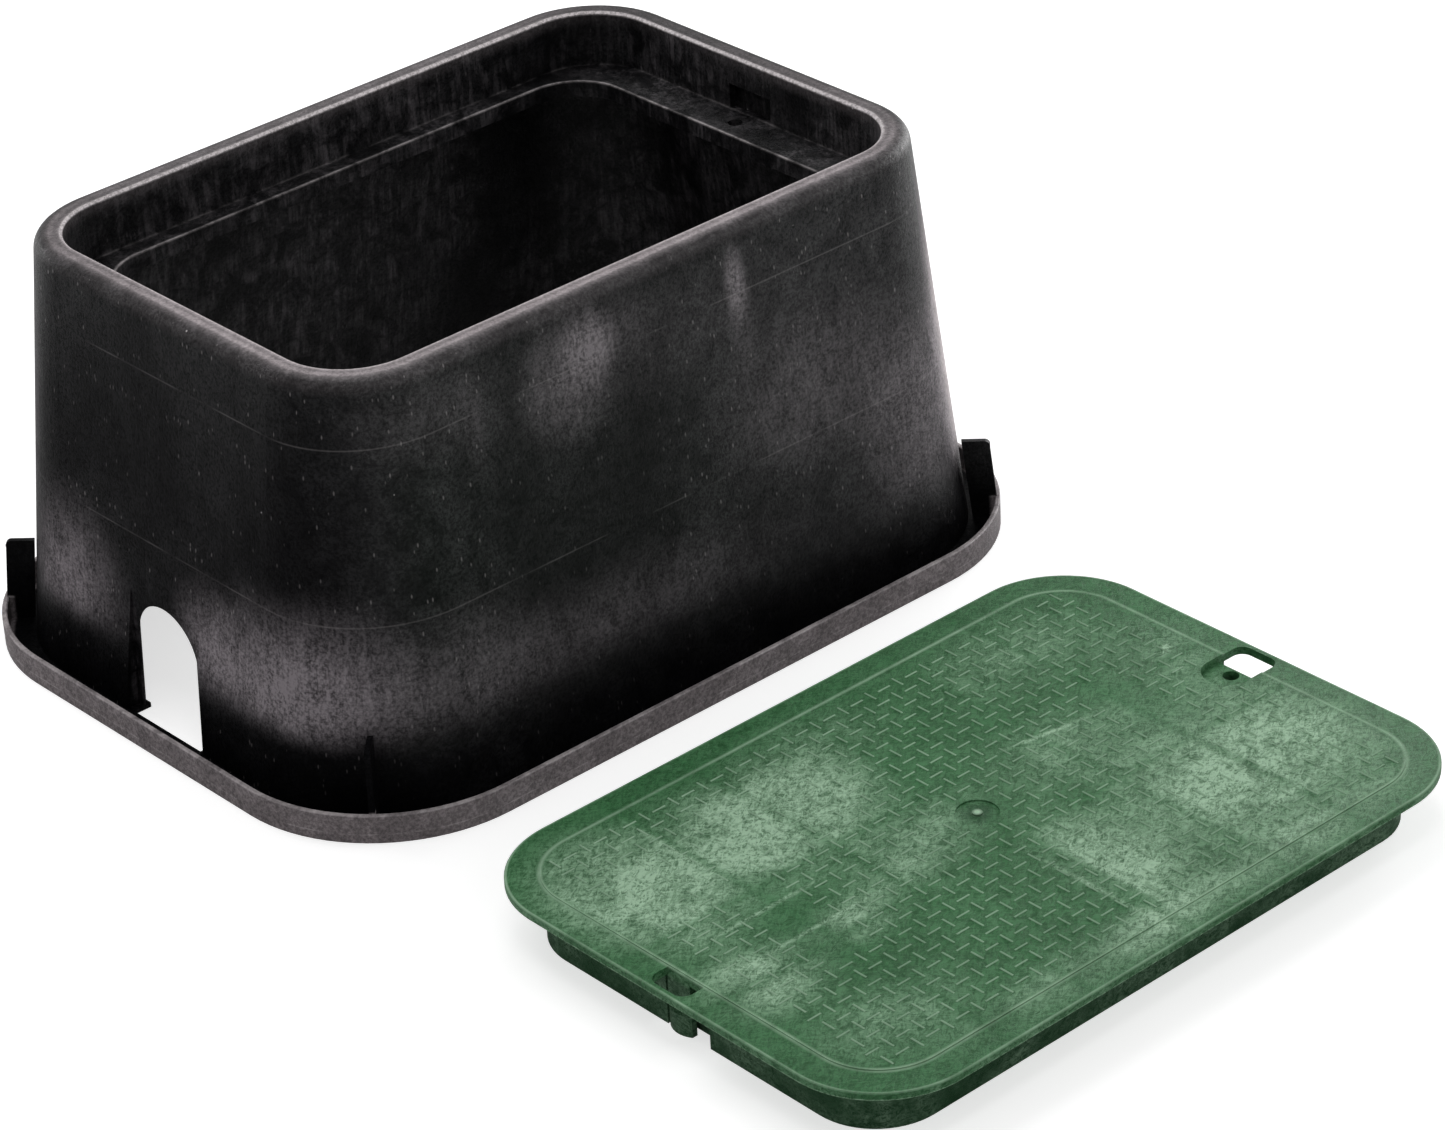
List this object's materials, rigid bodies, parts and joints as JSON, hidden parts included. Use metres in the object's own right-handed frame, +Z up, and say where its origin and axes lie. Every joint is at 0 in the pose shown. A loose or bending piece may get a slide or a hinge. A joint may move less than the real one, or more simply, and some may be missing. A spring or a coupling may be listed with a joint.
{
  "type": "irrigation valve box",
  "caption": "Rectangular ground box for irrigation valves: drafted wall, rounded rim, inner ledge, flanged foot and arched pipe openings, with its treaded cover lying beside it.",
  "frame": {"origin": "centre of the box's open foot, on the ground", "axes": "+Z up; +X along the box's long side, from the end nearest the viewer; -Y towards the cover lying beside the box"},
  "size_m": [0.64, 0.9328, 0.305],
  "materials": {
    "black_plastic": "scuffed matte black moulding",
    "green_plastic": "scuffed matte green moulding"
  },
  "bodies": {
    "root": {"box_body": "black_plastic", "cover": "green_plastic"}
  },
  "joints": []
}
